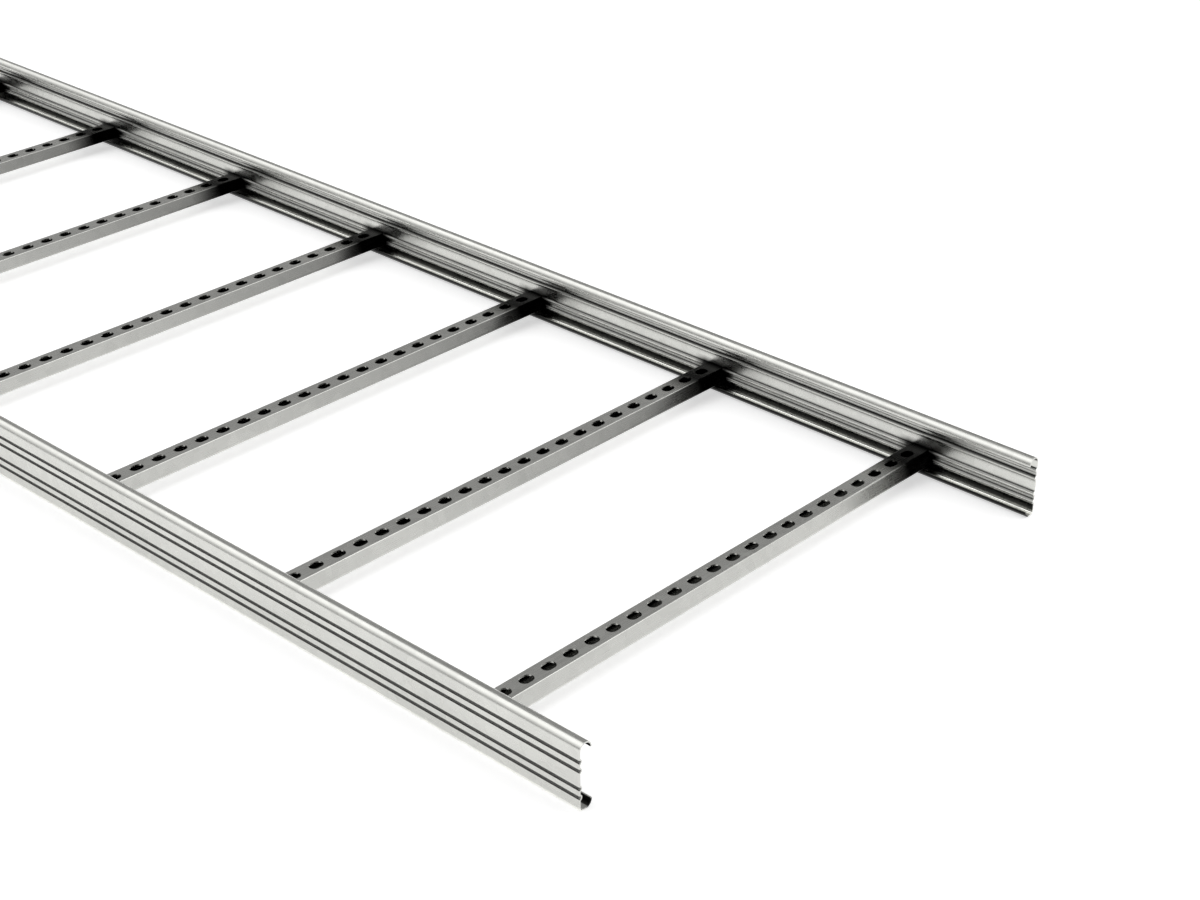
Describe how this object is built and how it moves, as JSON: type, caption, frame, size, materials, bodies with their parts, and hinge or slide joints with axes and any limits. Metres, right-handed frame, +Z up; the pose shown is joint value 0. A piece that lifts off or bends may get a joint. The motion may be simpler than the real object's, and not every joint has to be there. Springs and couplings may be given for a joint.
{
  "type": "cable ladder section",
  "caption": "Straight length of cable ladder: two ribbed side rails joined by evenly spaced slotted rungs that cables lie on and are strapped to.",
  "frame": {"origin": "centre of the bounding box at its underside, on the plane the rails stand on", "axes": "+X along the rails towards the end nearest in the picture, +Y towards the left rail, +Z up"},
  "size_m": [3, 0.594, 0.06],
  "materials": {
    "rail_steel": "galvanised, satin",
    "rung_steel": "galvanised, satin"
  },
  "bodies": {
    "root": {"side_rail_right": "rail_steel", "side_rail_left": "rail_steel", "rung_01": "rung_steel", "rung_02": "rung_steel", "rung_03": "rung_steel", "rung_04": "rung_steel", "rung_05": "rung_steel", "rung_06": "rung_steel", "rung_07": "rung_steel", "rung_08": "rung_steel", "rung_09": "rung_steel", "rung_10": "rung_steel", "rung_11": "rung_steel", "rung_12": "rung_steel"}
  },
  "joints": []
}
